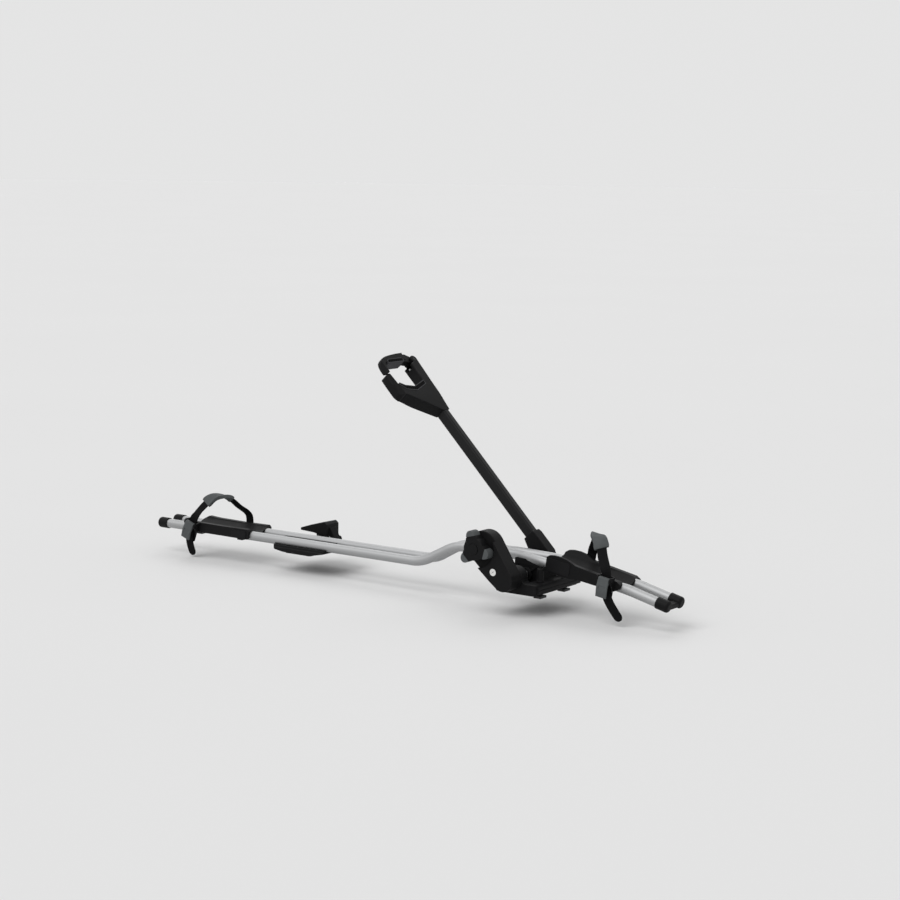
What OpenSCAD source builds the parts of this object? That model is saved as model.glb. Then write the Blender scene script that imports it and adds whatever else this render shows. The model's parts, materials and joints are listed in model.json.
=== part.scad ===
// Roof carrier that holds one bicycle upright on two cross bars.
// The origin is on top of the front bar, midway between the rails. +X is forward and +Z is up.
// All sizes are in millimetres.

/* [Rails] */
// Outside diameter of the two rail tubes
tube_d = 22; // [18:0.5:26]
// Wall of the rail tubes
tube_wall = 2; // [1.2:0.1:3]
// Distance between the tube centres at the wheel trays
rail_spread = 54; // [50:1:66]
// Distance between the tube centres on the hump
crest_spread = 26; // [25:1:36]
// Height of the tube centres behind the hump
rail_z = 24.5; // [20:0.5:32]
// Height of the tube centres on the hump
crest_z = 71; // [64:1:86]
// Reach of the tubes behind the origin
rear_length = 1105; // [1000:5:1330]
// Reach of the tubes in front of the origin
front_length = 302; // [280:2:360]
// Bend radius at the foot and the top of the hump
hump_radius = 100; // [70:5:130]

/* [Front base] */
// Width of the base on the near side of the middle
base_near = 89; // [86:1:110]
// Width of the base on the far side of the middle
base_far = 96; // [94:1:116]
// Position of the front face
base_front = 30; // [26:1:36]
// Position of the rear edge behind the origin
base_back = 80; // [72:1:96]
// Height of the front beam
beam_top = 25; // [22:0.5:28]
// Thickness of the rubber under the base
pad_t = 2; // [1.5:0.5:3]
// Thickness of the moulded floor
floor_t = 8; // [6:0.5:10]
// Sideways place of the two clamp bolts
bolt_y = 48; // [46:1:56]
// Diameter of the clamp bolts
bolt_d = 8; // [6:1:9]

/* [Arm] */
// Place of the fold axis behind the origin
hinge_back = 34; // [30:1:40]
// Height of the fold axis
hinge_z = 35; // [33:0.5:40]
// Diameter of the fold shaft
shaft_d = 16; // [14:0.5:18]
// Rise of the raised arm above level
arm_angle = 45.3; // [35:0.1:60]
// Sideways place of the arm
arm_y = 57; // [56:0.5:60]
// Offset of the arm from the fold axis
arm_offset = 16; // [12:0.5:20]
// Depth of the arm section
arm_depth = 26; // [22:0.5:30]
// Width of the arm section
arm_width = 20; // [18:0.5:22]
// Distance from the fold axis to the middle of the held frame tube
claw_reach = 541; // [460:1:650]
// Diameter of the frame tube the claw is drawn closed on
grip_d = 70; // [56:1:76]

/* [Torque knob] */
// Distance from the fold axis to the knob axis
knob_reach = 91; // [84:1:110]
// Radius of the knob lobes
knob_r = 41; // [37:0.5:42]
// Depth of the knob
knob_h = 23; // [20:0.5:28]
// Radius of the upper end of the housing
housing_r = 38; // [36:0.5:44]
// Depth of the housing
housing_h = 39; // [34:0.5:44]
// Radius of the lower end of the housing and the base cheeks
cheek_r = 25; // [24:0.5:28]

/* [Trays and straps] */
// Length of the front tray
front_tray_l = 190; // [170:1:194]
// Length of the rear tray
rear_tray_l = 204; // [180:1:240]
// Place of the middle of the rear tray behind the origin
rear_tray_back = 928; // [900:1:960]
// Reach of the tray sides past the tubes
tray_side = 5; // [4:0.5:14]
// Width of the wheel straps
strap_w = 22; // [18:1:26]
// Thickness of the wheel straps
strap_t = 3; // [2:0.25:3.5]
// Width of the buckle levers
lever_w = 26; // [24:1:30]

/* [Rear bracket] */
// Place of the middle of the rear bracket behind the origin
bracket_back = 671; // [640:1:720]
// Length of the rear bracket along the rails
bracket_l = 156; // [140:1:180]
// Sideways place of the rear clamp bolt
clamp_y = 78; // [76:1:88]

/* [Fits] */
// Radial clearance of turning pins
turn_gap = 0.05; // [0.02:0.01:0.1]
// Clearance of pieces seated on each other
seat_gap = 0.1; // [0.05:0.05:0.3]
// Clearance between pieces that pass each other
pass_gap = 0.5; // [0.3:0.1:1]

/* [Part to show] */
// Name of the sub-part to draw, or all of them

/* [Hidden] */
$fn = 64;

black = [0.12, 0.12, 0.125];
soft_black = [0.08, 0.08, 0.085];
grey = [0.33, 0.345, 0.345];
silver = [0.78, 0.79, 0.8];
steel = [0.6, 0.61, 0.63];

tube_r = tube_d / 2;
rail_y = rail_spread / 2;
tray_half = rail_y + tube_r + tray_side;
crest_y = crest_spread / 2;
low_bend = 322;
high_bend = 236;
splay_start = 75;
splay_end = 5;
nose_bend = 220;
tray_z = crest_z - 5.5;
tray_drop = 8.6;
nose_drop = 13.7;
nose_z = tray_z - (nose_bend - splay_end) * tan(tray_drop);
tip_z = nose_z - (front_length - nose_bend) * tan(nose_drop);

hinge_x = -hinge_back;
shaft_r = shaft_d / 2;
bush_r = shaft_r + 3;
barrel_r = cheek_r - 4;
cheek_t = 24;
barrel_l = 14;
tower_half = 36;
tower_front = 2;
tower_back = 66;
tower_top = crest_z - 3;
hub_near = tower_half + pass_gap;
hub_far = base_far - cheek_t - pass_gap;
hub_r = 22;
bolt_x = 12;

cover_t = 3;
housing_in = -base_near - pass_gap * 3;
housing_out = housing_in - housing_h;
wall = 3;
recess = 8;
knob_back = housing_out + recess - pass_gap;
knob_front = knob_back - knob_h;
knob_x = -knob_reach;
knob_n = -2;
housing_x = knob_x + 6;
housing_n = 4.5;
spindle_r = 5;
lock_x = -27;
lock_n = -4.4;
lock_r = 6.6;

claw_front = 18;
claw_back = -10;
ear_front = 12;
ear_back = -4;
neck = 106;
jaw_y = arm_y + 11;
jaw_a = grip_d / 2 + 7;
rod_y = arm_y - 4;
rod_r = 3;
pad_grip = 7;
vee = [0, -grip_d / 2 - 5];
vee_far = [arm_y - 11, vee[1] + 15];
vee_low = [-34, vee[1] + 7];
vee_near = [-49, vee[1] + 20];
strut_out = -58;
strut_top = grip_d / 2 - 22;

bracket_rear = -bracket_back - bracket_l / 2;
bracket_front = -bracket_back + bracket_l / 2;
clamp_x = -bracket_back - 22;
cover_x = clamp_x + 38;
cover_z = pad_t + 20;

// Helpers

function unit(v) = v / norm(v);
function side_of(d) = abs(d[2]) > 0.9 ? [1, 0, 0] : unit(cross([0, 0, 1], d));
function across_of(d) = unit(side_of(d) - d * (side_of(d) * d));

module frame(p, x, y, z) {
  multmatrix([[x[0], y[0], z[0], p[0]], [x[1], y[1], z[1], p[1]], [x[2], y[2], z[2], p[2]],
    [0, 0, 0, 1]]) children();
}

module aim(p, d) {
  x = across_of(d);
  frame(p, x, cross(d, x), d) children();
}

// Round bar along straight lines joined by true bends. The bends are a little thicker, as bent
// tubes are, so that the lines end inside them.
module run(pts, radii, d) {
  n = len(pts);
  dirs = [for (i = [0:n - 2]) unit(pts[i + 1] - pts[i])];
  turns = [for (i = [1:n - 2]) acos(dirs[i - 1] * dirs[i])];
  cuts = [0, each [for (i = [0:n - 3]) radii[i] * tan(turns[i] / 2)], 0];
  laps = [0, each [for (i = [0:n - 3]) sqrt(radii[i] * 0.02)], 0];
  for (i = [0:n - 2])
    aim(pts[i] + dirs[i] * (cuts[i] - laps[i]), dirs[i]) cylinder(d = d,
      h = norm(pts[i + 1] - pts[i]) - cuts[i] - cuts[i + 1] + laps[i] + laps[i + 1]);
  for (i = [1:n - 2]) {
    a = dirs[i - 1];
    inward = unit(dirs[i] - a * (a * dirs[i]));
    start = pts[i] - a * cuts[i];
    frame(start + inward * radii[i - 1], -inward, a, cross(-inward, a))
      rotate_extrude(angle = turns[i - 1]) translate([radii[i - 1], 0]) circle(d = d * 1.02);
  }
}

// Outline drawn in X and Z, carried along Y
module across(y0, y1) {
  translate([0, y1, 0]) rotate([90, 0, 0]) linear_extrude(y1 - y0) children();
}

// Outline drawn in Y and Z, carried along X
module along(x0, x1) {
  translate([x0, 0, 0]) rotate([90, 0, 90]) linear_extrude(x1 - x0) children();
}

module pin_y(x, z, r, y0, y1) {
  translate([x, y1, z]) rotate([90, 0, 0]) cylinder(r = r, h = y1 - y0);
}

module pin_x(y, z, r, x0, x1) {
  translate([x0, y, z]) rotate([0, 90, 0]) cylinder(r = r, h = x1 - x0);
}

module block(a, b) {
  translate(a) cube(b - a);
}

module rounded(a, b, r) {
  translate([a[0] + r, a[1]]) square([b[0] - a[0] - 2 * r, b[1] - a[1]]);
  translate([a[0], a[1] + r]) square([b[0] - a[0], b[1] - a[1] - 2 * r]);
  for (x = [a[0] + r, b[0] - r])
    for (y = [a[1] + r, b[1] - r])
      translate([x, y]) circle(r = r);
}

// Two circles with straight sides, a hair inside the lines that touch both
module link(p1, r1, p2, r2) {
  t = atan2(p2[1] - p1[1], p2[0] - p1[0]);
  a = acos((r1 - r2) / norm(p2 - p1));
  n1 = [cos(t + a), sin(t + a)];
  n2 = [cos(t - a), sin(t - a)];
  translate(p1) circle(r = r1);
  translate(p2) circle(r = r2);
  polygon([p1 + (r1 - 0.02) * n1, p2 + (r2 - 0.02) * n1, p2 + (r2 - 0.02) * n2,
    p1 + (r1 - 0.02) * n2]);
}

// The same outline drawn in X and Z as a solid from y0 to y1
module bar_y(p1, r1, p2, r2, y0, y1) {
  t = atan2(p2[1] - p1[1], p2[0] - p1[0]);
  a = acos((r1 - r2) / norm(p2 - p1));
  n1 = [cos(t + a), sin(t + a)];
  n2 = [cos(t - a), sin(t - a)];
  union() {
    pin_y(p1[0], p1[1], r1, y0, y1);
    pin_y(p2[0], p2[1], r2, y0, y1);
    across(y0, y1) polygon([p1 + (r1 - 0.02) * n1, p2 + (r2 - 0.02) * n1, p2 + (r2 - 0.02) * n2,
      p1 + (r1 - 0.02) * n2]);
  }
}

// The same outline drawn in Y and Z as a solid from x0 to x1
module bar_x(p1, r1, p2, r2, x0, x1) {
  rotate([0, 0, 90]) bar_y(p1, r1, p2, r2, -x1, -x0);
}

module arm_frame() {
  translate([hinge_x, 0, hinge_z]) rotate([0, arm_angle, 0]) children();
}

// Outline drawn across the claw and up the arm, carried through its depth
module claw_slab(n0, n1) {
  translate([-claw_reach, 0, arm_offset + n0]) rotate([0, 0, 90]) linear_extrude(n1 - n0)
    children();
}

module front_tray_frame() {
  translate([splay_end, 0, tray_z]) rotate([0, tray_drop, 0]) children();
}

module rear_tray_frame() {
  translate([-rear_tray_back, 0, rail_z]) children();
}

// Rails

function rail_path(s) = [[-rear_length, s * rail_y, rail_z], [-low_bend, s * rail_y, rail_z],
  [-high_bend, s * crest_y, crest_z], [-splay_start, s * crest_y, crest_z],
  [splay_end, s * rail_y, tray_z], [nose_bend, s * rail_y, nose_z],
  [front_length, s * rail_y, tip_z]];
rail_radii = [hump_radius, hump_radius, 200, 150, 200];

function splay_y(x) = crest_y + (x + splay_start) / (splay_start + splay_end) * (rail_y - crest_y);
screw_xs = [-52, -18];

module rail(s) {
  difference() {
    run(rail_path(s), rail_radii, tube_d);
    run(rail_path(s), rail_radii, tube_d - 2 * tube_wall);
    for (x = screw_xs)
      translate([x, s * splay_y(x), tower_top - 20]) cylinder(d = 6.4, h = 20);
  }
}

module rail_near() {
  color(silver) rail(-1);
}

module rail_far() {
  color(silver) rail(1);
}

module end_cap(sleeve, nose) {
  r = tube_r + 2;
  soft = min(6, r / 2);
  difference() {
    translate([0, 0, -sleeve]) rotate_extrude() {
      square([r, sleeve + nose - soft]);
      square([r - soft, sleeve + nose]);
      translate([r - soft, sleeve + nose - soft]) circle(r = soft);
    }
    difference() {
      translate([0, 0, -sleeve - 1]) cylinder(r = tube_r + seat_gap, h = sleeve + 1);
      translate([0, 0, -sleeve - 1]) cylinder(r = tube_r - tube_wall - seat_gap, h = sleeve + 1);
    }
  }
}

module front_end_cap() {
  color(black) translate([front_length, 0, tip_z]) rotate([0, 90 + nose_drop, 0]) {
    for (s = [-1, 1])
      translate([0, s * rail_y, 0]) end_cap(10, 20);
    translate([-3, -rail_y, 2]) rotate([-90, 0, 0]) linear_extrude(rail_spread)
      rounded([0, -16], [tube_r + 1, 0], 3);
  }
}

module rear_end_caps() {
  color(black)
    for (s = [-1, 1])
      translate([-rear_length, s * rail_y, rail_z]) rotate([0, -90, 0]) end_cap(8, 22);
}

// Front base

module cheek_outline() {
  translate([hinge_x, hinge_z]) circle(r = cheek_r);
  translate([hinge_x - cheek_r, pad_t]) square([2 * cheek_r, hinge_z - pad_t]);
  difference() {
    translate([hinge_x + cheek_r - 1, pad_t]) square([11, hinge_z - pad_t]);
    translate([hinge_x + cheek_r + 10, hinge_z]) circle(r = 10);
  }
}

module tower() {
  intersection() {
    translate([0, 0, pad_t]) linear_extrude(tower_top - pad_t)
      rounded([-tower_back, -tower_half], [tower_front, tower_half], 6);
    along(-tower_back - 1, tower_front + 1) polygon([[-tower_half, 0], [tower_half, 0],
      [tower_half, tower_top - 26], [tower_half - 5, tower_top], [5 - tower_half, tower_top],
      [-tower_half, tower_top - 26]]);
  }
}

module tower_panel(s) {
  difference() {
    across(s > 0 ? tower_half - 4 : -tower_half - 1, s > 0 ? tower_half + 1 : 4 - tower_half)
      rounded([6 - tower_back, pad_t + floor_t + 4], [tower_front - 6, tower_top - 12], 5);
    across(-tower_half - 2, tower_half + 2)
      translate([-tower_back / 2 + 14, hinge_z + 12]) rotate(38) square([90, 4], center = true);
    pin_y(hinge_x, hinge_z, bush_r + 4, -tower_half - 2, tower_half + 2);
  }
}

module front_base() {
  color(black) difference() {
    union() {
      intersection() {
        linear_extrude(beam_top) rounded([-base_back, -base_near], [base_front, base_far], 10);
        across(-base_near, base_far) {
          translate([-base_back, pad_t]) square([base_back, floor_t]);
          rounded([-12, pad_t], [base_front, beam_top], 8);
          translate([-12, pad_t]) square([20, floor_t]);
        }
      }
      across(-base_near, cheek_t - base_near) cheek_outline();
      across(base_far - cheek_t, base_far) cheek_outline();
      tower();
      for (s = [-1, 1])
        translate([bolt_x, s * bolt_y, pad_t]) cylinder(r = bolt_d / 2 + 7, h = beam_top - pad_t);
    }
    for (s = [-1, 1]) {
      run(rail_path(s), rail_radii, tube_d + 2 * seat_gap);
      translate([bolt_x, s * bolt_y, -1]) cylinder(d = bolt_d + 0.6, h = beam_top + 2);
      for (x = screw_xs)
        translate([x, s * splay_y(x), 40]) cylinder(d = 6.4, h = tower_top);
      tower_panel(s);
    }
    difference() {
      block([5 - tower_back, 6 - tower_half, -1], [tower_front - 5, tower_half - 6, tower_top - 17]);
      pin_y(hinge_x, hinge_z, bush_r + 4, -tower_half, tower_half);
      block([hinge_x - 3, -tower_half, -2], [hinge_x + 3, tower_half, hinge_z]);
    }
    pin_y(hinge_x, hinge_z, shaft_r + pass_gap, -base_near - 1, base_far + 1);
    pin_y(hinge_x, hinge_z, barrel_r + pass_gap, -base_near - 1, barrel_l - base_near);
    pin_y(hinge_x, hinge_z, bush_r, -base_near, cheek_t - base_near + 1);
    pin_y(hinge_x, hinge_z, bush_r, tower_half - 12, tower_half + 1);
    pin_y(hinge_x, hinge_z, bush_r, base_far - cheek_t - 1, base_far - 10);
    pin_y(hinge_x, hinge_z, bush_r + 5, base_far - 10, base_far + 1);
    block([base_front - 1.2, -base_near - 1, beam_top / 2],
      [base_front + 1, base_far + 1, beam_top / 2 + 1.2]);
    for (y = [-70, -20, 20, 74])
      block([-6, y - 9, -1], [base_front - 8, y + 9, beam_top - 6]);
  }
}

module base_pad() {
  color(soft_black) difference() {
    linear_extrude(pad_t) rounded([4 - base_back, 4 - base_near], [base_front - 9, base_far - 4], 8);
    for (s = [-1, 1])
      translate([bolt_x, s * bolt_y, -1]) cylinder(d = bolt_d + 1, h = pad_t + 2);
    block([6 - tower_back, 7 - tower_half, -1], [tower_front - 6, tower_half - 7, pad_t + 1]);
  }
}

module bush(y0, y1) {
  difference() {
    pin_y(hinge_x, hinge_z, bush_r - seat_gap, y0, y1);
    pin_y(hinge_x, hinge_z, shaft_r + turn_gap, y0 - 1, y1 + 1);
  }
}

module hinge_bushes() {
  color(grey) {
    bush(barrel_l - base_near, cheek_t - base_near);
    bush(tower_half - 11.8, tower_half);
    bush(base_far - cheek_t, base_far - 10.2);
  }
}

module t_bolt(x, y, top) {
  translate([x, y, 0]) {
    translate([0, 0, -5]) cylinder(d = bolt_d, h = top + 5);
    translate([-9, -12, -9]) cube([18, 24, 5]);
  }
}

module front_t_bolts() {
  color(steel)
    for (s = [-1, 1])
      t_bolt(bolt_x, s * bolt_y, beam_top + 22);
}

// Tall cap nuts, turned with a key from above
module front_nuts() {
  color(black)
    for (s = [-1, 1])
      translate([bolt_x, s * bolt_y, beam_top]) difference() {
        union() {
          cylinder(r = bolt_d / 2 + 5, h = 3);
          cylinder(r1 = bolt_d / 2 + 3.8, r2 = bolt_d / 2 + 3.2, h = 30);
        }
        translate([0, 0, -1]) cylinder(r = bolt_d / 2 + seat_gap / 2, h = 24.5);
        translate([0, 0, 25.5]) cylinder(r = bolt_d / 2, h = 6, $fn = 6);
      }
}

module rail_screws() {
  color(steel)
    for (s = [-1, 1])
      for (x = screw_xs)
        translate([x, s * splay_y(x), tower_top - 17]) {
          translate([0, 0, -4.2]) cylinder(r = 5, h = 4);
          translate([0, 0, -1]) cylinder(r = 2.9, h = 12);
        }
}

// Wheel trays and their straps

function tray_half_line(s) = [[s * rail_y, 6], [s * (rail_y + tube_r - 2), -26],
  [s * tray_half, -26], [s * tray_half, 29], [s * (tray_half - 3), 31], [s * (tray_half - 7), 24],
  [s * (rail_y + 2), tube_r + 3], [s * (rail_y - tube_r - 1), tube_r - 3], [s * 4, 2.5]];
function tray_under(s) = [[s * 4, -2.5], [s * (rail_y - tube_r - 3), 2], [s * (rail_y - tube_r - 3), -5]];

module tray_outline() {
  difference() {
    polygon([each tray_half_line(1), each [for (i = [8:-1:0]) tray_half_line(-1)[i]],
      each [for (i = [2:-1:0]) tray_under(-1)[i]], each tray_under(1)]);
    for (s = [-1, 1])
      translate([s * rail_y, 0]) circle(r = tube_r + seat_gap);
    translate([-rail_y - tube_r - 0.8, -27])
      square([2 * rail_y + 2 * tube_r + 1.6, 26 - tube_r * 0.3]);
  }
}

front_buckle_x = 174;
front_buckle_z = -2;
front_anchor_x = 76;
tray_start = 16;
front_clip_xs = [tray_start + 24, tray_start + front_tray_l - 54];
rear_buckle_x = -78;
rear_buckle_z = -2;
rear_buckle_tilt = 20;
rear_anchor_x = 30;

module front_tray() {
  x1 = tray_start + front_tray_l;
  color(black) front_tray_frame() difference() {
    intersection() {
      along(tray_start, x1) tray_outline();
      across(-tray_half - 1, tray_half + 1)
        polygon([[tray_start, -13], [80, -14], [98, -10], [x1 - 14, -9], [x1, 0], [x1, 9], [x1 - 10, 14],
          [90, 19], [80, 22.5], [66, 26.5], [50, 28], [34, 27], [tray_start + 6, 24], [tray_start, 19]]);
    }
    pin_y(front_anchor_x, -2, 2.6, rail_y + tube_r + 1, tray_half + 1);
    for (x = front_clip_xs)
      translate([x, 0, -6]) cylinder(r = 3.2, h = 20);
  }
}

// Cross piece that grips both rails from below and stands under the tray floor
module clip(x) {
  difference() {
    union() {
      block([x - 8, -rail_y, -tube_r - 4], [x + 8, rail_y, -tube_r - 0.4]);
      block([x - 8, -6, -tube_r - 1], [x + 8, 6, -2.7]);
    }
    for (s = [-1, 1])
      pin_x(s * rail_y, 0, tube_r + seat_gap, x - 9, x + 9);
  }
}

module front_tray_clips() {
  color(black) front_tray_frame()
    for (x = front_clip_xs)
      difference() {
        clip(x);
        translate([x, 0, -30]) cylinder(r = 2.5, h = 40);
      }
}

module front_tray_screws() {
  color(steel) front_tray_frame()
    for (x = front_clip_xs)
      translate([x, 0, 2.6]) {
        cylinder(r1 = 4, r2 = 3, h = 2.4);
        translate([0, 0, -15]) cylinder(r = 2.45, h = 16);
      }
}

module label_plate(x, z, l, h) {
  across(-tray_half - 1.4, -tray_half - 0.05) translate([x, z]) rounded([0, 0], [l, h], 5);
}

module front_label() {
  color(grey) front_tray_frame() label_plate(tray_start + 4, -9, 58, 28);
}

module rear_tray() {
  h = rear_tray_l / 2;
  color(black) rear_tray_frame() difference() {
    intersection() {
      along(-h, h) tray_outline();
      across(-tray_half - 1, tray_half + 1)
        polygon([[-h, -7], [h - 4, -8], [h, -4], [h, 12], [h - 5, 17], [20, 16], [-60, 17],
          [-h + 10, 19], [-h, 13]]);
    }
    pin_y(rear_anchor_x, -2, 2.6, rail_y + tube_r + 1, tray_half + 1);
  }
}

module rear_label() {
  color(grey) rear_tray_frame() label_plate(rear_tray_l / 2 - 54, -5, 46, 17);
}

module rear_tray_clips() {
  color(black) rear_tray_frame()
    for (x = [-70, 60])
      clip(x);
}

// Closed flat band along a route, its width as near to X as the route lets it be
function spline(p, i, t) = let(a = p[max(i - 1, 0)], b = p[i], c = p[i + 1],
  d = p[min(i + 2, len(p) - 1)])
  0.5 * (2 * b + (c - a) * t + (2 * a - 5 * b + 4 * c - d) * t * t
  + (3 * b - a - 3 * c + d) * t * t * t);
function route(p, k) = [for (i = [0:len(p) - 2]) for (j = [0:k - 1]) spline(p, i, j / k), p[len(p) - 1]];

function heading(p, i) = unit(p[min(i + 1, len(p) - 1)] - p[max(i - 1, 0)]);
function wide_at(p, i) = let(t = heading(p, i)) unit([1, 0, 0] - t * t[0]);
function normal_at(p, i) = cross(wide_at(p, i), heading(p, i));

module ribbon(pts, use, w, t, lift = 0) {
  rings = [for (i = use) let(m = normal_at(pts, i), e = wide_at(pts, i) * w / 2,
    low = pts[i] + m * (lift - t / 2), high = pts[i] + m * (lift + t / 2))
    [low - e, low + e, high + e, high - e]];
  n = len(rings);
  faces = [[0, 1, 2, 3],
    each [for (i = [0:n - 2]) for (j = [0:3]) let(a = 4 * i + j, b = 4 * i + (j + 1) % 4)
      each j < 2 ? [[a, a + 4, b + 4], [a, b + 4, b]] : [[a, a + 4, b], [b, a + 4, b + 4]]],
    [4 * n - 1, 4 * n - 2, 4 * n - 3, 4 * n - 4]];
  polyhedron(points = [for (r = rings) each r], faces = faces);
}

strap_y = tray_half + 7.5;
anchor_y = tray_half + 0.4 + strap_t / 2;

function strap_route(xa, xb, zb, mid, top, tilt, lean) = let(a = mid - xa, b = xb - mid, k = tan(tilt))
  [[xa, anchor_y, -9], [xa, anchor_y, 26], [xa + a * 0.1, anchor_y - 4, 40],
  [xa + a * 0.4, anchor_y - 14, top - 24], [xa + a * 0.7, 16, top - 5], [mid, 0, top],
  [mid + b * 0.3, -16, top - 6], [mid + b * 0.6, -34, top - 28],
  [mid + b * 0.9 + 34 * k, 2 - strap_y, zb + 38], [xb + 22 * k, -strap_y, zb + 22],
  [xb - 2 * k, -strap_y, zb - 2], [xb - 26 * k + lean * 0.26, -strap_y, zb - 26],
  [xb - 40 * k + lean * 0.62, 2 - strap_y, zb - 46], [xb - 50 * k + lean, 5 - strap_y, zb - 64]];

front_route = strap_route(front_anchor_x, front_buckle_x, front_buckle_z, 108, 84, 0, 48);
rear_route = strap_route(rear_anchor_x, rear_buckle_x, rear_buckle_z, -26, 78, rear_buckle_tilt, 24);

module strap(pts, xa) {
  fine = route(pts, 4);
  difference() {
    ribbon(fine, [0:len(fine) - 1], strap_w, strap_t);
    pin_y(xa, -2, 2.9, tray_half - 2, tray_half + 9);
  }
}

// Soft sleeve round the top of a strap: a thick layer above it and a thin one under it
module rim_pad(pts) {
  fine = route(pts, 4);
  ribbon(fine, [14:26], strap_w + 8, 4, -strap_t / 2 - 2.8);
  ribbon(fine, [17:25], strap_w + 8, 1.6, strap_t / 2 + 1.6);
}

module front_strap() {
  color(soft_black) front_tray_frame() strap(front_route, front_anchor_x);
}

module front_rim_pad() {
  color(grey) front_tray_frame() rim_pad(front_route);
}

module rear_strap() {
  color(soft_black) rear_tray_frame() strap(rear_route, rear_anchor_x);
}

module rear_rim_pad() {
  color(grey) rear_tray_frame() rim_pad(rear_route);
}

module strap_screw(x) {
  pin_y(x, -2, 2.4, rail_y + tube_r + 1.5, tray_half + strap_t + 1);
  pin_y(x, -2, 6, tray_half + strap_t + 0.8, tray_half + strap_t + 4);
}

module front_strap_screw() {
  color(steel) front_tray_frame() strap_screw(front_anchor_x);
}

module rear_strap_screw() {
  color(steel) rear_tray_frame() strap_screw(rear_anchor_x);
}

// Buckle drawn with its back on the near tray wall, its width along X
lever_pin_y = -tray_half - 14;
lever_pin_z = 18;
cheek_in = lever_w / 2 + 1;

module buckle() {
  difference() {
    union() {
      across(-tray_half - 3, -tray_half) rounded([-cheek_in - 3, -27], [cheek_in + 3, 25], 4);
      for (s = [-1, 1])
        translate([s * (cheek_in + 1.5), 0, 0]) along(-1.5, 1.5) {
          link([lever_pin_y, lever_pin_z], 6.5, [-tray_half - 2, lever_pin_z - 20], 2);
          polygon([[-tray_half, 24], [-tray_half, -22], [lever_pin_y, lever_pin_z - 2],
            [lever_pin_y, lever_pin_z + 6]]);
        }
    }
    pin_x(lever_pin_y, lever_pin_z, 2.5, -cheek_in - 5, cheek_in + 5);
  }
}

module lever() {
  difference() {
    union() {
      pin_x(lever_pin_y, lever_pin_z, 4.6, -lever_w / 2, lever_w / 2);
      bar_x([lever_pin_y - 3, lever_pin_z + 1], 3, [lever_pin_y - 7, lever_pin_z - 18], 2.4,
        -lever_w / 2, lever_w / 2);
      bar_x([lever_pin_y - 7, lever_pin_z - 18], 2.5, [lever_pin_y - 5, lever_pin_z - 38], 2,
        -lever_w / 2, lever_w / 2);
    }
    pin_x(lever_pin_y, lever_pin_z, 2.5 + turn_gap, -lever_w, lever_w);
    block([-8, lever_pin_y - 12, lever_pin_z - 32], [8, lever_pin_y - 8, lever_pin_z - 14]);
  }
}

module lever_pin() {
  pin_x(lever_pin_y, lever_pin_z, 2.5 - 0.02, -cheek_in - 4, cheek_in + 4);
}

module at_front_buckle() {
  front_tray_frame() translate([front_buckle_x, 0, front_buckle_z]) children();
}

module at_rear_buckle() {
  rear_tray_frame() translate([rear_buckle_x, 0, rear_buckle_z]) rotate([0, rear_buckle_tilt, 0])
    children();
}

module front_buckle() {
  color(black) at_front_buckle() buckle();
}

module front_lever() {
  color(grey) at_front_buckle() lever();
}

module front_lever_pin() {
  color(steel) at_front_buckle() lever_pin();
}

module rear_buckle() {
  color(black) at_rear_buckle() buckle();
}

module rear_lever() {
  color(grey) at_rear_buckle() lever();
}

module rear_lever_pin() {
  color(steel) at_rear_buckle() lever_pin();
}

// Fold arm

module hinge_shaft() {
  color(steel) arm_frame() difference() {
    pin_y(0, 0, shaft_r, housing_in - 4, base_far - 6);
    pin_y(0, 0, shaft_r - 3, housing_in - 5, base_far);
    block([-shaft_r - 1, rod_y - 12, -4], [0, rod_y + 6, 5]);
    for (y = [-base_near + 3, hub_near + 2])
      block([-2.5, y, shaft_r - 2.5], [2.5, y + 9, shaft_r + 3]);
  }
}

module shaft_keys() {
  color(steel) arm_frame()
    for (y = [-base_near + 3, hub_near + 2])
      block([-2.45, y + 0.05, shaft_r - 2.45], [2.45, y + 8.95, shaft_r + 2.4]);
}

module shaft_cap() {
  color(steel) arm_frame() difference() {
    rotate([90, 0, 0]) translate([0, 0, 2.5 - base_far]) rotate_extrude() {
      square([bush_r + 3, 5]);
      square([bush_r, 6.4]);
    }
    pin_y(0, 0, shaft_r + seat_gap / 2, base_far - 12, base_far - 5.9);
  }
}

module arm_section(grow) {
  rounded([arm_y - arm_width / 2 - grow, arm_offset - arm_depth / 2 - grow],
    [arm_y + arm_width / 2 + grow, arm_offset + arm_depth / 2 + grow], 5 + grow);
}

module arm_hub() {
  color(black) arm_frame() difference() {
    union() {
      pin_y(0, 0, hub_r, hub_near, hub_far);
      across(arm_y - arm_width / 2 - 4, hub_far)
        polygon([[4, hub_r - 1], [-24, arm_offset + 17], [-76, arm_offset + 17], [-84, arm_offset + 15],
          [-84, arm_offset - 15], [-76, arm_offset - 17], [-10, -hub_r + 2]]);
    }
    pin_y(0, 0, shaft_r + seat_gap, hub_near - 1, hub_far + 1);
    along(-86, -28) arm_section(seat_gap);
    translate([0, rod_y, 0]) rotate([0, -70, 0]) cylinder(r = 5, h = 40);
    block([-2.5, hub_near + 2, 0], [2.5, hub_near + 11, shaft_r + 2.5]);
  }
}

module arm_tube() {
  color(black) arm_frame() along(80 - claw_reach, -28.2) difference() {
    arm_section(0);
    arm_section(-2);
  }
}

// Torque knob housing

module housing_outline(grow) {
  link([0, 0], cheek_r + grow, [housing_x, housing_n], housing_r + grow);
}

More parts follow.
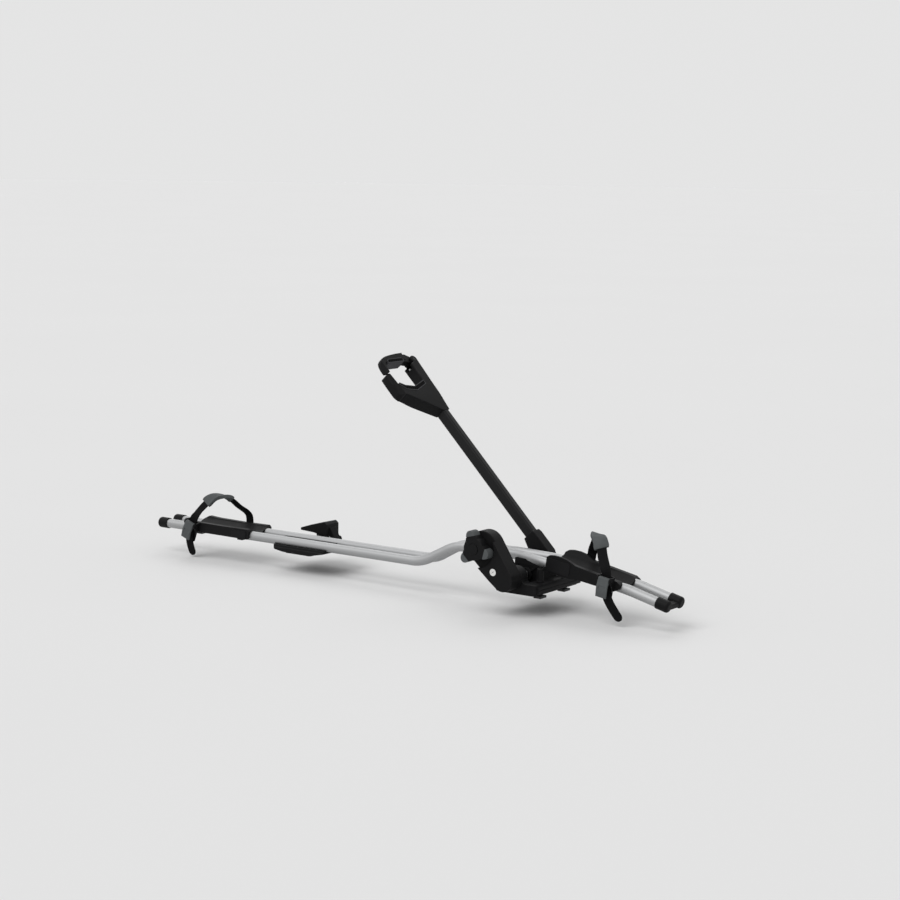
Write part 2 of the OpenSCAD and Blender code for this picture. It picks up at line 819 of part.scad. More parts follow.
module knob_housing() {
  color(black) arm_frame() difference() {
    across(housing_out, housing_in - cover_t - seat_gap) housing_outline(0);
    across(housing_out + recess + wall, housing_in) housing_outline(-wall);
    pin_y(knob_x, knob_n, knob_r + 2, housing_out - 1, housing_out + recess);
    block([knob_x - 60, housing_out - 1, -60], [knob_x + 16, housing_out + recess, 60]);
    pin_y(knob_x, knob_n, spindle_r + turn_gap, housing_out, housing_in);
    pin_y(lock_x, lock_n, lock_r + seat_gap, housing_out - 1, housing_in);
    for (p = screw_spots)
      pin_y(p[0], p[1], 2, housing_in - 12, housing_in);
  }
  color(black) arm_frame()
    for (p = screw_spots)
      difference() {
        pin_y(p[0], p[1], 4.5, housing_out + recess + wall - 1, housing_in - cover_t - seat_gap);
        pin_y(p[0], p[1], 2, housing_in - 13, housing_in);
      }
}

screw_spots = [[-46, 20], [-52, -26], [knob_x - 14, housing_n + 24]];

module housing_cover() {
  color(black) arm_frame() difference() {
    union() {
      across(housing_in - cover_t, housing_in) housing_outline(0);
      pin_y(0, 0, barrel_r, housing_in - 0.5, barrel_l - base_near - pass_gap);
    }
    pin_y(0, 0, shaft_r + seat_gap, housing_in - 5, 0);
    block([-2.5, -base_near + 3, 0], [2.5, barrel_l - base_near, shaft_r + 2.5]);
    for (p = screw_spots)
      pin_y(p[0], p[1], 2.3, housing_in - 4, housing_in + 1);
  }
}

module housing_screws() {
  color(steel) arm_frame()
    for (p = screw_spots) {
      pin_y(p[0], p[1], 1.9, housing_in - 11, housing_in + 0.5);
      pin_y(p[0], p[1], 3.5, housing_in + 0.05, housing_in + 1.2);
    }
}

module lock_barrel() {
  color(silver) arm_frame() difference() {
    union() {
      pin_y(lock_x, lock_n, lock_r, housing_out - 0.6, housing_in - cover_t - 4);
      pin_y(lock_x, lock_n, lock_r + 1.2, housing_out - 2, housing_out - 0.1);
    }
    pin_y(lock_x, lock_n, lock_r - 2 + turn_gap, housing_out - 3, housing_in);
  }
}

module lock_core() {
  color(silver) arm_frame() difference() {
    union() {
      pin_y(lock_x, lock_n, lock_r - 2, housing_out - 1.6, housing_in - cover_t - 2);
      across(housing_in - cover_t - 3.6, housing_in - cover_t - 0.6)
        link([lock_x, lock_n], lock_r - 2.6, [lock_x, lock_n - 9], 3);
    }
    block([lock_x - 0.6, housing_out - 4, lock_n - 2.8], [lock_x + 0.6, housing_out + 4, lock_n + 2.8]);
  }
}

module pull_cable() {
  y0 = housing_in - cover_t - 9;
  color(steel) arm_frame() run([[knob_x + 6, y0, knob_n + 15.6], [-34, y0, 13], [-14, y0, 0],
    [0, y0, 0], [0, rod_y, 0], [-26, rod_y, 9], [-44, rod_y, arm_offset],
    [-83.5, rod_y, arm_offset]], [40, 15, 8, 8, 30, 40], 2.5);
}

module lobe(k, y0, y1) {
  translate([knob_x, 0, knob_n]) rotate([0, -k, 0])
    bar_y([0, 0], knob_r - 20, [knob_r - 10.5, 0], 10.5, y0, y1);
}

module lobe_tip(k, start) {
  translate([knob_x, 0, knob_n]) rotate([0, -k, 0])
    block([start, knob_front - 5, -30], [knob_r + 10, knob_back + 5, 30]);
}

module torque_knob() {
  color(black) arm_frame() difference() {
    union() {
      pin_y(knob_x, knob_n, knob_r - 16, knob_front, knob_back);
      for (k = knob_turns)
        difference() {
          lobe(k, knob_front, knob_back);
          lobe_tip(k, knob_r - 13);
        }
    }
    pin_y(knob_x, knob_n, 17, knob_back - 11, knob_back + 1);
    pin_y(knob_x, knob_n, spindle_r + seat_gap / 2, knob_front + 4, knob_back + 1);
    pin_y(knob_x, knob_n, 12, knob_front - 1, knob_front + 3);
  }
}

knob_turns = [30, 150, 270];

module knob_grips() {
  color(grey) arm_frame()
    for (k = knob_turns)
      intersection() {
        lobe(k, knob_front - 1, knob_back - 1);
        lobe_tip(k, knob_r - 13 + seat_gap);
      }
}

module knob_cap() {
  color(black) arm_frame() pin_y(knob_x, knob_n, 12 - seat_gap, knob_front - 1, knob_front + 3 - seat_gap);
}

module knob_spindle() {
  color(steel) arm_frame() pin_y(knob_x, knob_n, spindle_r, knob_front + 4.2, housing_in - cover_t - 0.6);
}

module clutch_ring() {
  color(grey) arm_frame() difference() {
    pin_y(knob_x, knob_n, 16.8, knob_back - 5, knob_back - 0.2);
    pin_y(knob_x, knob_n, spindle_r + seat_gap / 2, knob_back - 6, knob_back);
    for (k = [0:60:300])
      translate([knob_x, 0, knob_n]) rotate([0, k, 0]) pin_y(11.5, 0, 2, knob_back - 6, knob_back - 3.5);
  }
}

module clutch_spring() {
  color(steel) arm_frame()
    for (k = [0:2])
      difference() {
        pin_y(knob_x, knob_n, 15, knob_back - 10.8 + 1.9 * k, knob_back - 9.2 + 1.9 * k);
        pin_y(knob_x, knob_n, 11, knob_back - 12, knob_back);
      }
}

module cable_drum() {
  y1 = housing_in - cover_t - 3;
  color(grey) arm_frame() translate([knob_x, y1, knob_n]) rotate([90, 0, 0]) rotate_extrude()
    difference() {
      translate([spindle_r + seat_gap / 2, 0]) square([13, 12]);
      translate([18.2, 6]) circle(r = 4);
    }
}

// Claw

module claw_outline() {
  polygon([[arm_y - 11.5, -neck], [arm_y + 11.5, -neck], [arm_y + 15, -30], [jaw_y + 9.9, jaw_a],
    [vee_far[0], jaw_a - 12], vee_far, vee, vee_low, vee_near, [strut_out + 8, strut_top - 4],
    [strut_out, strut_top - 4], [strut_out, vee[1] + 2], [strut_out + 12, vee[1] - 12]]);
  translate([strut_out + 4, strut_top - 4]) circle(r = 4);
  translate([strut_out + 11, vee[1]]) circle(r = 11);
  translate([jaw_y, jaw_a]) circle(r = 10);
}

// Side view of the claw, thinner towards the jaw
module claw_side() {
  u = -claw_reach;
  n = arm_offset;
  polygon([[u + neck + 2, n - 14], [u + neck + 2, n + 14], [u + neck - 30, n + claw_front - 1],
    [u + neck - 46, n + claw_front], [u - 60, n + claw_front], [u - 60, n + claw_back],
    [u + 50, n + claw_back], [u + neck - 40, n - 14]]);
}

// Slope that takes the near front edge off the claw and its jaw
module near_bevel(y, w) {
  along(-claw_reach - 80, neck - claw_reach)
    polygon([[y - 1, arm_offset + claw_front - w - 1], [y - 1, arm_offset + claw_front + 1],
      [y + w + 1, arm_offset + claw_front + 1]]);
}

module claw_body() {
  color(black) arm_frame() difference() {
    intersection() {
      claw_slab(claw_back - 4, claw_front) claw_outline();
      across(-80, 100) claw_side();
    }
    near_bevel(strut_out, 9);
    along(79 - claw_reach, 130 - claw_reach) arm_section(seat_gap);
    along(-claw_reach - 60, 80 - claw_reach) translate([rod_y, arm_offset]) circle(r = rod_r + 2);
    claw_slab(ear_back, ear_front) translate([jaw_y, jaw_a]) circle(r = 12);
    claw_slab(ear_back, ear_front)
      polygon([[rod_y - 20, jaw_a + 30], [jaw_y + 2, jaw_a + 30], [jaw_y - 6, jaw_a - 18],
        [rod_y - 20, jaw_a - 24]]);
    jaw_axis(4, claw_back - 5, claw_front + 1);
  }
}

module jaw_axis(r, n0, n1) {
  translate([-claw_reach - jaw_a, jaw_y, arm_offset + n0]) cylinder(r = r, h = n1 - n0);
}

module claw_pad() {
  color(soft_black) arm_frame() claw_slab(claw_back + 1, claw_front - 1)
    polygon([vee_near + [0.2, 0], vee_low + [0, 0.1], vee + [0, 0.1], vee_far + [-0.2, 0],
      vee_far + [-0.2, pad_grip], vee + [0, pad_grip], vee_low + [5, pad_grip - 1],
      vee_near + [5, 2]]);
}

module jaw_pin() {
  color(steel) arm_frame() jaw_axis(4 - 0.02, claw_back, claw_front);
}

module rod_guides() {
  color(grey) arm_frame()
    for (x = [-116, 90 - claw_reach])
      along(x - 8, x) difference() {
        arm_section(-2 - seat_gap);
        translate([rod_y, arm_offset]) circle(r = rod_r + turn_gap);
        translate([rod_y + 7, arm_offset]) circle(r = 2);
      }
}

jaw_under = jaw_a + 0.5;
jaw_near = strut_out - 4;

// Bowed finger that reaches over the frame tube and turns down in front of the strut
module jaw_outline() {
  polygon([[jaw_y - 30, jaw_under], [jaw_y - 30, jaw_a + 21], [40, jaw_a + 21], [16, jaw_a + 20.5],
    [-10, jaw_a + 18.5], [-30, jaw_a + 15.5], [jaw_near + 18, jaw_a + 11], [jaw_near + 9, jaw_a + 5],
    [jaw_near + 4, jaw_a - 3], [jaw_near + 1, jaw_a - 13], [jaw_near, strut_top + 1.5],
    [jaw_near + 14, strut_top + 1.5], [jaw_near + 16, jaw_a - 14], [jaw_near + 19, jaw_a - 4],
    [jaw_near + 25, jaw_under]]);
}

module jaw_knuckle() {
  polygon([[jaw_y - 34, jaw_under], [jaw_y - 10, jaw_under - 6], [jaw_y, jaw_a - 8.9],
    [jaw_y + 5, jaw_a + 7.4], [jaw_y - 14, jaw_a + 20], [jaw_y - 34, jaw_a + 21]]);
}

module hook_jaw() {
  color(black) arm_frame() difference() {
    union() {
      claw_slab(claw_back, claw_front) jaw_outline();
      claw_slab(ear_back + pass_gap, ear_front - pass_gap) jaw_knuckle();
      jaw_axis(9, ear_back + pass_gap, ear_front - pass_gap);
    }
    near_bevel(jaw_near, 10);
    along(-claw_reach - 80, 30 - claw_reach)
      polygon([[jaw_near - 1, arm_offset + claw_back - 1], [jaw_near - 1, arm_offset + 5],
        [jaw_near + 18, arm_offset + 5], [jaw_near + 34, arm_offset + claw_back - 1]]);
    jaw_axis(4 + turn_gap, claw_back - 1, claw_front + 1);
  }
}

module hook_pad() {
  color(soft_black) arm_frame() claw_slab(claw_back + 2, claw_front - 2)
    polygon([[jaw_near + 34, jaw_under - 0.1], [jaw_near + 36, jaw_under - pad_grip + 3],
      [jaw_y - 42, jaw_under - pad_grip + 3], [jaw_y - 40, jaw_under - 0.1]]);
}

module pull_rod() {
  color(steel) arm_frame() {
    pin_rod(rod_r, -claw_reach - jaw_a + 16, -85);
    pin_rod(rod_r + 0.8, -96, -84);
  }
}

module pin_rod(r, x0, x1) {
  translate([x0, rod_y, arm_offset]) rotate([0, 90, 0]) cylinder(r = r, h = x1 - x0);
}

// Rear bracket

module bracket_outline() {
  difference() {
    union() {
      translate([-rail_y - tube_r - 10, pad_t]) square([clamp_y + 26 + rail_y + tube_r + 10, 10]);
      rounded([-rail_y - tube_r - 6, pad_t], [-rail_y + 2, rail_z - 7], 3);
      rounded([rail_y - 2, pad_t], [rail_y + tube_r + 6, rail_z - 4], 3);
      rounded([-8, pad_t], [8, rail_z + 6], 3);
    }
    for (s = [-1, 1])
      translate([s * rail_y, rail_z]) circle(r = tube_r + pass_gap);
  }
}

module rear_bracket() {
  color(black) difference() {
    union() {
      intersection() {
        along(bracket_rear, bracket_front) bracket_outline();
        linear_extrude(80)
          rounded([bracket_rear, -rail_y - tube_r - 10], [bracket_front, clamp_y + 26], 12);
        across(-100, clamp_y + 40)
          polygon([[bracket_rear, 7], [bracket_rear + 34, pad_t], [bracket_front - 40, pad_t],
            [bracket_front, 10], [bracket_front, 60], [bracket_rear, 60]]);
      }
      for (y = [clamp_y - 16, clamp_y + 12])
        bar_y([cover_x, cover_z], 7, [cover_x, pad_t + 8], 7, y, y + 4);
    }
    translate([clamp_x, clamp_y, -1]) cylinder(d = bolt_d + 0.6, h = 40);
    pin_y(cover_x, cover_z, 3, 0, clamp_y + 40);
    for (x = [-bracket_back - 56, -bracket_back - 20, -bracket_back + 16])
      block([x, rail_y + tube_r + 14, -1], [x + 10, clamp_y - 14, pad_t + 8]);
  }
}

module rear_pad() {
  color(soft_black) difference() {
    linear_extrude(pad_t)
      rounded([bracket_rear + 36, -rail_y - tube_r - 5], [bracket_front - 42, clamp_y + 21], 6);
    translate([clamp_x, clamp_y, -1]) cylinder(d = bolt_d + 1, h = pad_t + 2);
  }
}

module rear_t_bolt() {
  color(steel) t_bolt(clamp_x, clamp_y, pad_t + 30);
}

module rear_knob() {
  color(grey) translate([clamp_x, clamp_y, pad_t + 11]) difference() {
    union() {
      linear_extrude(18) {
        circle(r = 13);
        for (k = [0:72:288])
          rotate(k) translate([11, 0]) circle(r = 5.5);
      }
      cylinder(r = 9, h = 22);
    }
    translate([0, 0, -1]) cylinder(r = bolt_d / 2 + turn_gap, h = 30);
  }
}

module cover_outline(grow) {
  x0 = bracket_rear + 3;
  x1 = clamp_x + 28;
  polygon([[x0 - grow, 37], [x0 - grow, 43 + grow], [x0 + 34, 54 + grow],
    [x1 - 8, 64 + grow], [x1 + grow, 58 + grow], [x1 + grow, 30], [x1 - 6, 27], [x1 - 40, 35]]);
}

module rear_cover() {
  color(black) difference() {
    union() {
      across(clamp_y - 22, clamp_y + 24) cover_outline(0);
      bar_y([cover_x, cover_z], 6, [cover_x - 12, 44], 7, clamp_y - 11, clamp_y + 11);
    }
    across(clamp_y - 19, clamp_y + 21) intersection() {
      cover_outline(-3);
      translate([bracket_rear, 0]) square([clamp_x + 22 - bracket_rear, 100]);
    }
    block([bracket_rear + 16, clamp_y - 19, 0], [clamp_x + 22, clamp_y + 21, 38]);
    pin_y(cover_x, cover_z, 3 + turn_gap, 0, clamp_y + 60);
    block([bracket_rear + 36, clamp_y - 23, 53], [bracket_rear + 37.2, clamp_y + 25, 80]);
  }
}

module rear_cover_pin() {
  color(steel) pin_y(cover_x, cover_z, 3 - 0.02, clamp_y - 16, clamp_y + 16);
}

rail_near();
rail_far();
front_end_cap();
rear_end_caps();
front_base();
base_pad();
hinge_bushes();
front_t_bolts();
front_nuts();
rail_screws();
front_tray();
front_label();
front_tray_clips();
front_tray_screws();
front_strap();
front_rim_pad();
front_buckle();
front_lever_pin();
front_strap_screw();
front_lever();
hinge_shaft();
shaft_keys();
shaft_cap();
arm_hub();
arm_tube();
knob_housing();
housing_cover();
housing_screws();
lock_barrel();
lock_core();
pull_cable();
claw_body();
claw_pad();
jaw_pin();
rod_guides();
hook_jaw();
hook_pad();
pull_rod();
torque_knob();
knob_grips();
knob_cap();
knob_spindle();
clutch_ring();
clutch_spring();
cable_drum();
rear_tray();
rear_label();
rear_tray_clips();
rear_strap();
rear_rim_pad();
rear_buckle();
rear_lever_pin();
rear_strap_screw();
rear_lever();
rear_bracket();
rear_pad();
rear_t_bolt();
rear_cover();
rear_cover_pin();
rear_knob();
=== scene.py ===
"""Finishes, rounded mouldings and soft pieces of a roof carrier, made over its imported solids."""

import json
import math

import bmesh
import bpy
from mathutils import Matrix, Vector
from mathutils.bvhtree import BVHTree
from mathutils.kdtree import KDTree

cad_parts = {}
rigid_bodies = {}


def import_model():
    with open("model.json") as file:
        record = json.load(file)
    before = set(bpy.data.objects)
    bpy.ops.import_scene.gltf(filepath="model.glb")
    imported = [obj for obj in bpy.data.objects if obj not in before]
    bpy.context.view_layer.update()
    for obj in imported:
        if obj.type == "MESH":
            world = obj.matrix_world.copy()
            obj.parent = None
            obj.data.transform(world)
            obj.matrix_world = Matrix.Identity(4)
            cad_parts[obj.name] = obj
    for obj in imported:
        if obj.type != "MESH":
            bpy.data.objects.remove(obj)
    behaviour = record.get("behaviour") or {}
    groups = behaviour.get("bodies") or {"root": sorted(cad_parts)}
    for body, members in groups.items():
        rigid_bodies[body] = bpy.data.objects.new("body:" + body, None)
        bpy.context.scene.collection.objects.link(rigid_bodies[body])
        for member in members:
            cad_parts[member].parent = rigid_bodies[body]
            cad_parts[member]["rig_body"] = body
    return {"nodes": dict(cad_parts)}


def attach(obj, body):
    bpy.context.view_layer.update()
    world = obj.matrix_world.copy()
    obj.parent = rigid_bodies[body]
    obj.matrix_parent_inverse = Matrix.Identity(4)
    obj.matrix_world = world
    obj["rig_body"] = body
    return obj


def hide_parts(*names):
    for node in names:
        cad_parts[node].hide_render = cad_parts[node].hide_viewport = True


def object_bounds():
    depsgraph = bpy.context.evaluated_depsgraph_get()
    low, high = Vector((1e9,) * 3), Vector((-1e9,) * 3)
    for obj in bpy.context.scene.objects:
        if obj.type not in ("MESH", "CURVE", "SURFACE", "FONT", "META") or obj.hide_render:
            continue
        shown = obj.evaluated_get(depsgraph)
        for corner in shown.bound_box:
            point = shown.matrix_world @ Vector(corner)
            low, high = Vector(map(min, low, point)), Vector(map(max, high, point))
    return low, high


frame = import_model()
SOLID_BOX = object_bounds()

bl_info = {
    "name": "Roof carrier looks",
    "version": (1, 0, 0),
    "blender": (4, 5, 0),
    "location": "View3D > Sidebar > Carrier",
    "description": "Finishes, rounded mouldings, straps, pads and studio for a roof carrier",
    "category": "Object",
}

MM = 0.001

# How copies of the solids are merged, flattened, rounded and shaded
MERGE_DISTANCE = 2e-6
FLAT_ANGLE = math.radians(0.6)
SHARP_ANGLE = math.radians(34)
EVEN_SHADING = 33
SOFT_SHADING = 50
RIDGE_SHADING = 28
ROUND_STEPS = 3
ROUND_SHARES = (1, 0.5, 0.25)
OUTSIDE_POINT = 0.05 * MM
OUTSIDE_FACE = 0.3 * MM
SMALLEST_FACE = 1e-10
TURNED = -0.3
ROOM = 1.5

# The frames of the trays and of the fold arm, as the solids have them
FRONT_TRAY = Matrix.Translation((0.005, 0, 0.0655)) @ Matrix.Rotation(math.radians(8.6), 4, "Y")
REAR_TRAY = Matrix.Translation((-0.928, 0, 0.0245))
ARM = Matrix.Translation((-0.034, 0, 0.035)) @ Matrix.Rotation(math.radians(45.3), 4, "Y")
CLAW_AXIS = ARM.col[2].to_3d()
CLAW_REACH = 541
CLAW_FACE = 16

# The studio's light and camera
FLOOR_RADIUS = 60
FLOOR_GAP = 0.001
SKY_LEVEL = 0.5
SKY_SEEN = 0.28
LAMPS = {"key": ((-0.2, -0.72, 1), 1.3, 50), "rim": ((-0.6, 0.8, 0.9), 0.6, 40)}
CAMERA_PLACE = (2.4171, -3.7691, 0.9464)
CAMERA_RIGHT = Vector((0.81338, 0.58157, 0.0135))
CAMERA_UP = Vector((-0.09344, 0.10771, 0.98978))
CAMERA_AHEAD = Vector((-0.57418, 0.80633, -0.14195))
CAMERA_LENS = 83.381


# Sizes and colours that a user would change

class CarrierSizes(bpy.types.PropertyGroup):
    """Sizes of the pieces made here"""

    strap_width: bpy.props.FloatProperty(
        name="Strap width", description="Width of the straps", default=22 * MM, unit="LENGTH")
    strap_thickness: bpy.props.FloatProperty(
        name="Strap thickness", description="Thickness of the straps at a ridge", default=2.9 * MM,
        unit="LENGTH")
    ridge_pitch: bpy.props.FloatProperty(
        name="Ridge pitch", description="Distance between the ridges of a strap", default=5 * MM,
        unit="LENGTH")
    sleeve_width: bpy.props.FloatProperty(
        name="Sleeve width", description="Width of the sleeve on a strap", default=30 * MM, unit="LENGTH")
    edge_round: bpy.props.FloatProperty(
        name="Edge rounding", description="Scale of the rounding on the mouldings", default=1, min=0.1,
        max=1.5, subtype="FACTOR")
    dot_pitch: bpy.props.FloatProperty(
        name="Dot pitch", description="Distance between the dots of the claw pads", default=6.5 * MM,
        unit="LENGTH")


class CarrierColours(bpy.types.PropertyGroup):
    """Colours of the finishes"""

    moulding: bpy.props.FloatVectorProperty(
        name="Mouldings", description="Black plastic", default=(0.0068, 0.0068, 0.0072), subtype="COLOR")
    accent: bpy.props.FloatVectorProperty(
        name="Accents", description="Grey plastic of levers and grips", default=(0.088, 0.094, 0.096),
        subtype="COLOR")
    rubber: bpy.props.FloatVectorProperty(
        name="Rubber", description="Pads and straps", default=(0.006, 0.006, 0.0064), subtype="COLOR")
    tube: bpy.props.FloatVectorProperty(
        name="Tube", description="Drawn aluminium", default=(0.41, 0.414, 0.418), subtype="COLOR")
    steel: bpy.props.FloatVectorProperty(
        name="Steel", description="Plated steel", default=(0.42, 0.425, 0.43), subtype="COLOR")
    floor: bpy.props.FloatVectorProperty(
        name="Floor", description="Studio floor", default=(0.8, 0.8, 0.8), subtype="COLOR")


def sizes():
    return bpy.context.scene.carrier_sizes


def colours():
    return bpy.context.scene.carrier_colours


# Finishes

class Value:
    """What a node gives, with arithmetic."""

    def __init__(self, finish, socket):
        self.finish = finish
        self.socket = socket

    def math(self, operation, first, second):
        return self.finish.node("ShaderNodeMath", {"operation": operation}, {0: first, 1: second})

    def __add__(self, other):
        return self.math("ADD", self, other)

    def __sub__(self, other):
        return self.math("SUBTRACT", self, other)

    def __rsub__(self, other):
        return self.math("SUBTRACT", other, self)

    def __mul__(self, other):
        return self.math("MULTIPLY", self, other)

    def most(self, other):
        return self.math("MAXIMUM", self, other)

    __radd__ = __add__
    __rmul__ = __mul__


class Finish:
    """The shader of a material or of the world, whose nodes are added by type."""

    def __init__(self, owner, shader, **sockets):
        owner.use_nodes = True
        self.owner = owner
        self.tree = owner.node_tree
        self.shader = self.tree.nodes[shader]
        self.set(**sockets)

    def node(self, kind, settings=None, inputs=None, output=0):
        made = self.tree.nodes.new(kind)
        for key, value in (settings or {}).items():
            if key == "stops":
                for stop, (place, tone) in zip(made.color_ramp.elements, value):
                    stop.position = place
                    stop.color = (tone, tone, tone, 1)
            else:
                setattr(made, key, value)
        for key, value in (inputs or {}).items():
            self.feed(made.inputs[key], value)
        return Value(self, made.outputs[output])

    def feed(self, socket, value):
        if isinstance(value, Value):
            self.tree.links.new(value.socket, socket)
        elif socket.type == "RGBA":
            socket.default_value = (*value, 1)
        else:
            socket.default_value = value

    def set(self, **sockets):
        for key, value in sockets.items():
            label = key.replace("_", " ")
            self.feed(next(s for s in self.shader.inputs if s.name.lower() == label), value)

    def place(self, stretch=(1, 1, 1)):
        spot = self.node("ShaderNodeTexCoord", output="Object")
        return self.node("ShaderNodeMapping", inputs={"Vector": spot, "Scale": stretch})

    def noise(self, where, scale, detail=2):
        return self.node("ShaderNodeTexNoise", inputs={"Vector": where, "Scale": scale, "Detail": detail})

    def ramp(self, value, low, high):
        return self.node("ShaderNodeValToRGB", {"stops": [(low, 0), (high, 1)]}, {"Fac": value})

    def mix(self, factor, first, second):
        return self.node("ShaderNodeMix", {"data_type": "RGBA"}, {0: factor, 6: first, 7: second}, 2)

    def bump(self, height, distance, strength):
        return self.node("ShaderNodeBump", inputs={
            "Height": height, "Distance": distance, "Strength": strength})

    def worn(self):
        """The rounded edges, as the mouldings mark them, for rubbed wear and a painted edge highlight."""
        return self.node("ShaderNodeAttribute", {"attribute_name": "worn"}, output="Fac")


def surface(name, **sockets):
    return Finish(bpy.data.materials.new(name), "Principled BSDF", **sockets)


def shade(colour, by):
    return tuple(min(1, channel * by) for channel in colour)


def grained(name, colour, rough, rubbed_and_highlit, grain=0.00006):
    """Moulded plastic with a fine grain, cloudy gloss and lighter rounded edges, partly rubbed wear and
    partly painted highlight.
    """
    finish = surface(name, specular_ior_level=0.1)
    where = finish.place()
    cloud = finish.noise(where, 26, 3)
    patch = finish.ramp(finish.noise(where, 70, 4), 0.38, 0.68)
    fine = finish.noise(where, 1500, 2)
    rub_and_highlight = finish.worn() * patch
    tone = finish.mix(cloud, shade(colour, 0.72), shade(colour, 1.3))
    # The rounded edges are lighter in patches: partly rubbed wear, partly a painted edge highlight.
    finish.set(base_color=finish.mix(rub_and_highlight * 0.6, tone, shade(colour, rubbed_and_highlit)),
               roughness=cloud * 0.14 + fine * 0.1 + (rough - 0.12) - rub_and_highlight * 0.09,
               normal=finish.bump(fine, grain, 0.7))
    return finish.owner


def drawn_tube(name):
    """Satin tube with drawing lines along it."""
    finish = surface(name, metallic=1.0)
    lines = finish.noise(finish.place((5, 900, 900)), 1, 4)
    cloud = finish.noise(finish.place(), 14, 2)
    colour = tuple(colours().tube)
    finish.set(base_color=finish.mix(lines, shade(colour, 0.88), shade(colour, 1.1)),
               roughness=lines * 0.12 + cloud * 0.1 + 0.46,
               normal=finish.bump(lines, 0.00002, 0.5))
    return finish.owner


def coated(name):
    """Matt coating with a fine orange-peel."""
    finish = surface(name, specular_ior_level=0.18)
    where = finish.place()
    peel = finish.noise(where, 520, 1)
    cloud = finish.noise(where, 30, 2)
    finish.set(base_color=finish.mix(cloud, shade(black(), 0.95), shade(black(), 1.4)),
               roughness=peel * 0.1 + 0.36, normal=finish.bump(peel, 0.00008, 0.6))
    return finish.owner


def moulded_rubber(name, colour, rough=0.72):
    """Dull rubber with a fine bloom."""
    finish = surface(name, specular_ior_level=0.05)
    where = finish.place()
    fine = finish.noise(where, 900, 3)
    cloud = finish.noise(where, 40, 2)
    finish.set(base_color=finish.mix(cloud, shade(colour, 0.75), shade(colour, 1.3)),
               roughness=fine * 0.16 + (rough - 0.08), normal=finish.bump(fine, 0.00012, 0.7))
    return finish.owner


def plated(name, colour, rough):
    """Plated metal with turning marks."""
    finish = surface(name, metallic=1.0)
    marks = finish.noise(finish.place((700, 60, 700)), 1, 3)
    cloud = finish.noise(finish.place(), 120, 2)
    finish.set(base_color=finish.mix(cloud, shade(colour, 0.86), shade(colour, 1.1)),
               roughness=marks * 0.14 + (rough - 0.07), normal=finish.bump(marks, 0.00002, 0.5))
    return finish.owner


def black():
    return tuple(colours().moulding)


def grey():
    return tuple(colours().accent)


def rubber():
    return tuple(colours().rubber)


def steel():
    return tuple(colours().steel)


LOCK_COLOUR = (0.86, 0.86, 0.85)

MAKERS = {
    "drawn_tube": drawn_tube,
    "coated_arm": coated,
    # The last number lightens the rounded edges: partly rubbed wear, partly painted highlight.
    "grained_black": lambda name: grained(name, black(), 0.52, 2.6),
    "grained_grey": lambda name: grained(name, grey(), 0.5, 1.4),
    "satin_plate": lambda name: grained(name, shade(black(), 1.25), 0.36, 2, 0.00002),
    "foot_rubber": lambda name: moulded_rubber(name, rubber()),
    # The lip rubber is painted eleven times lighter than the other rubber, a painted highlight along the
    # pads' lips.
    "lip_rubber": lambda name: moulded_rubber(name, shade(rubber(), 11), 0.66),
    "dot_rubber": lambda name: moulded_rubber(name, shade(rubber(), 0.25), 0.8),
    "ribbed_rubber": lambda name: moulded_rubber(name, rubber(), 0.62),
    "sleeve_rubber": lambda name: moulded_rubber(name, grey(), 0.6),
    "plated_steel": lambda name: plated(name, steel(), 0.36),
    "dark_steel": lambda name: plated(name, shade(steel(), 0.09), 0.42),
    "bright_lock": lambda name: plated(name, LOCK_COLOUR, 0.24),
}


def use(name):
    return bpy.data.materials.get(name) or MAKERS[name](name)


def finish_nodes(finish, *names):
    for name in names:
        data = frame["nodes"][name].data
        data.materials.clear()
        data.materials.append(use(finish))


# Meshes

def piece(name, shape, finish, body, smooth):
    """Turn a finished shape into a piece that rides on a body."""
    mesh = bpy.data.meshes.new(name)
    shape.to_mesh(mesh)
    shape.free()
    made = bpy.data.objects.new(name, mesh)
    bpy.context.scene.collection.objects.link(made)
    mesh.materials.append(use(finish))
    mesh.shade_smooth()
    mesh.set_sharp_from_angle(angle=math.radians(smooth))
    level = made.modifiers.new("level_faces", "WEIGHTED_NORMAL")
    level.keep_sharp = True
    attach(made, body)
    return made


def body_of(node):
    return frame["nodes"][node]["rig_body"]


def copy_of(node):
    shape = bmesh.new()
    shape.from_mesh(frame["nodes"][node].data)
    return shape


def merge(shape):
    """Join the loose triangles of a copied node."""
    bmesh.ops.remove_doubles(shape, verts=shape.verts, dist=MERGE_DISTANCE)


def round_edges(shape, edges, width, segments):
    """Round the given edges and mark the rounded faces for edge wear and a painted edge highlight."""
    made = bmesh.ops.bevel(shape, geom=edges, offset=width * sizes().edge_round, offset_type="OFFSET",
                           segments=segments, profile=0.5, affect="EDGES", clamp_overlap=False, material=-1)
    mark = shape.loops.layers.float.get("worn") or shape.loops.layers.float.new("worn")
    for face in made["faces"]:
        for loop in face.loops:
            loop[mark] = 1


def sharp(edge):
    return edge.is_manifold and edge.is_convex and edge.calc_face_angle() > SHARP_ANGLE


def faults(shape, solid, width):
    """Places where a rounded shape leaves its solid or is turned inside out."""
    found = []
    for vert in shape.verts:
        spot, normal, _, far = solid.find_nearest(vert.co)
        if far > OUTSIDE_POINT and (vert.co - spot).dot(normal) > 0:
            found.append(vert.co.copy())
    for face in shape.faces:
        centre = face.calc_center_median()
        spot, normal, _, far = solid.find_nearest(centre)
        outside = far > OUTSIDE_FACE and (centre - spot).dot(normal) > 0
        turned = far < width and face.calc_area() > SMALLEST_FACE and face.normal.dot(normal) < TURNED
        if outside or turned:
            found.append(centre)
    return found


def clear(edge, near, reach):
    """Whether an edge keeps away from every place in a tree."""
    first, last = (vert.co for vert in edge.verts)
    steps = math.ceil(edge.calc_length() / reach) + 1
    return all(near.find(first.lerp(last, k / steps))[2] > reach for k in range(steps + 1))


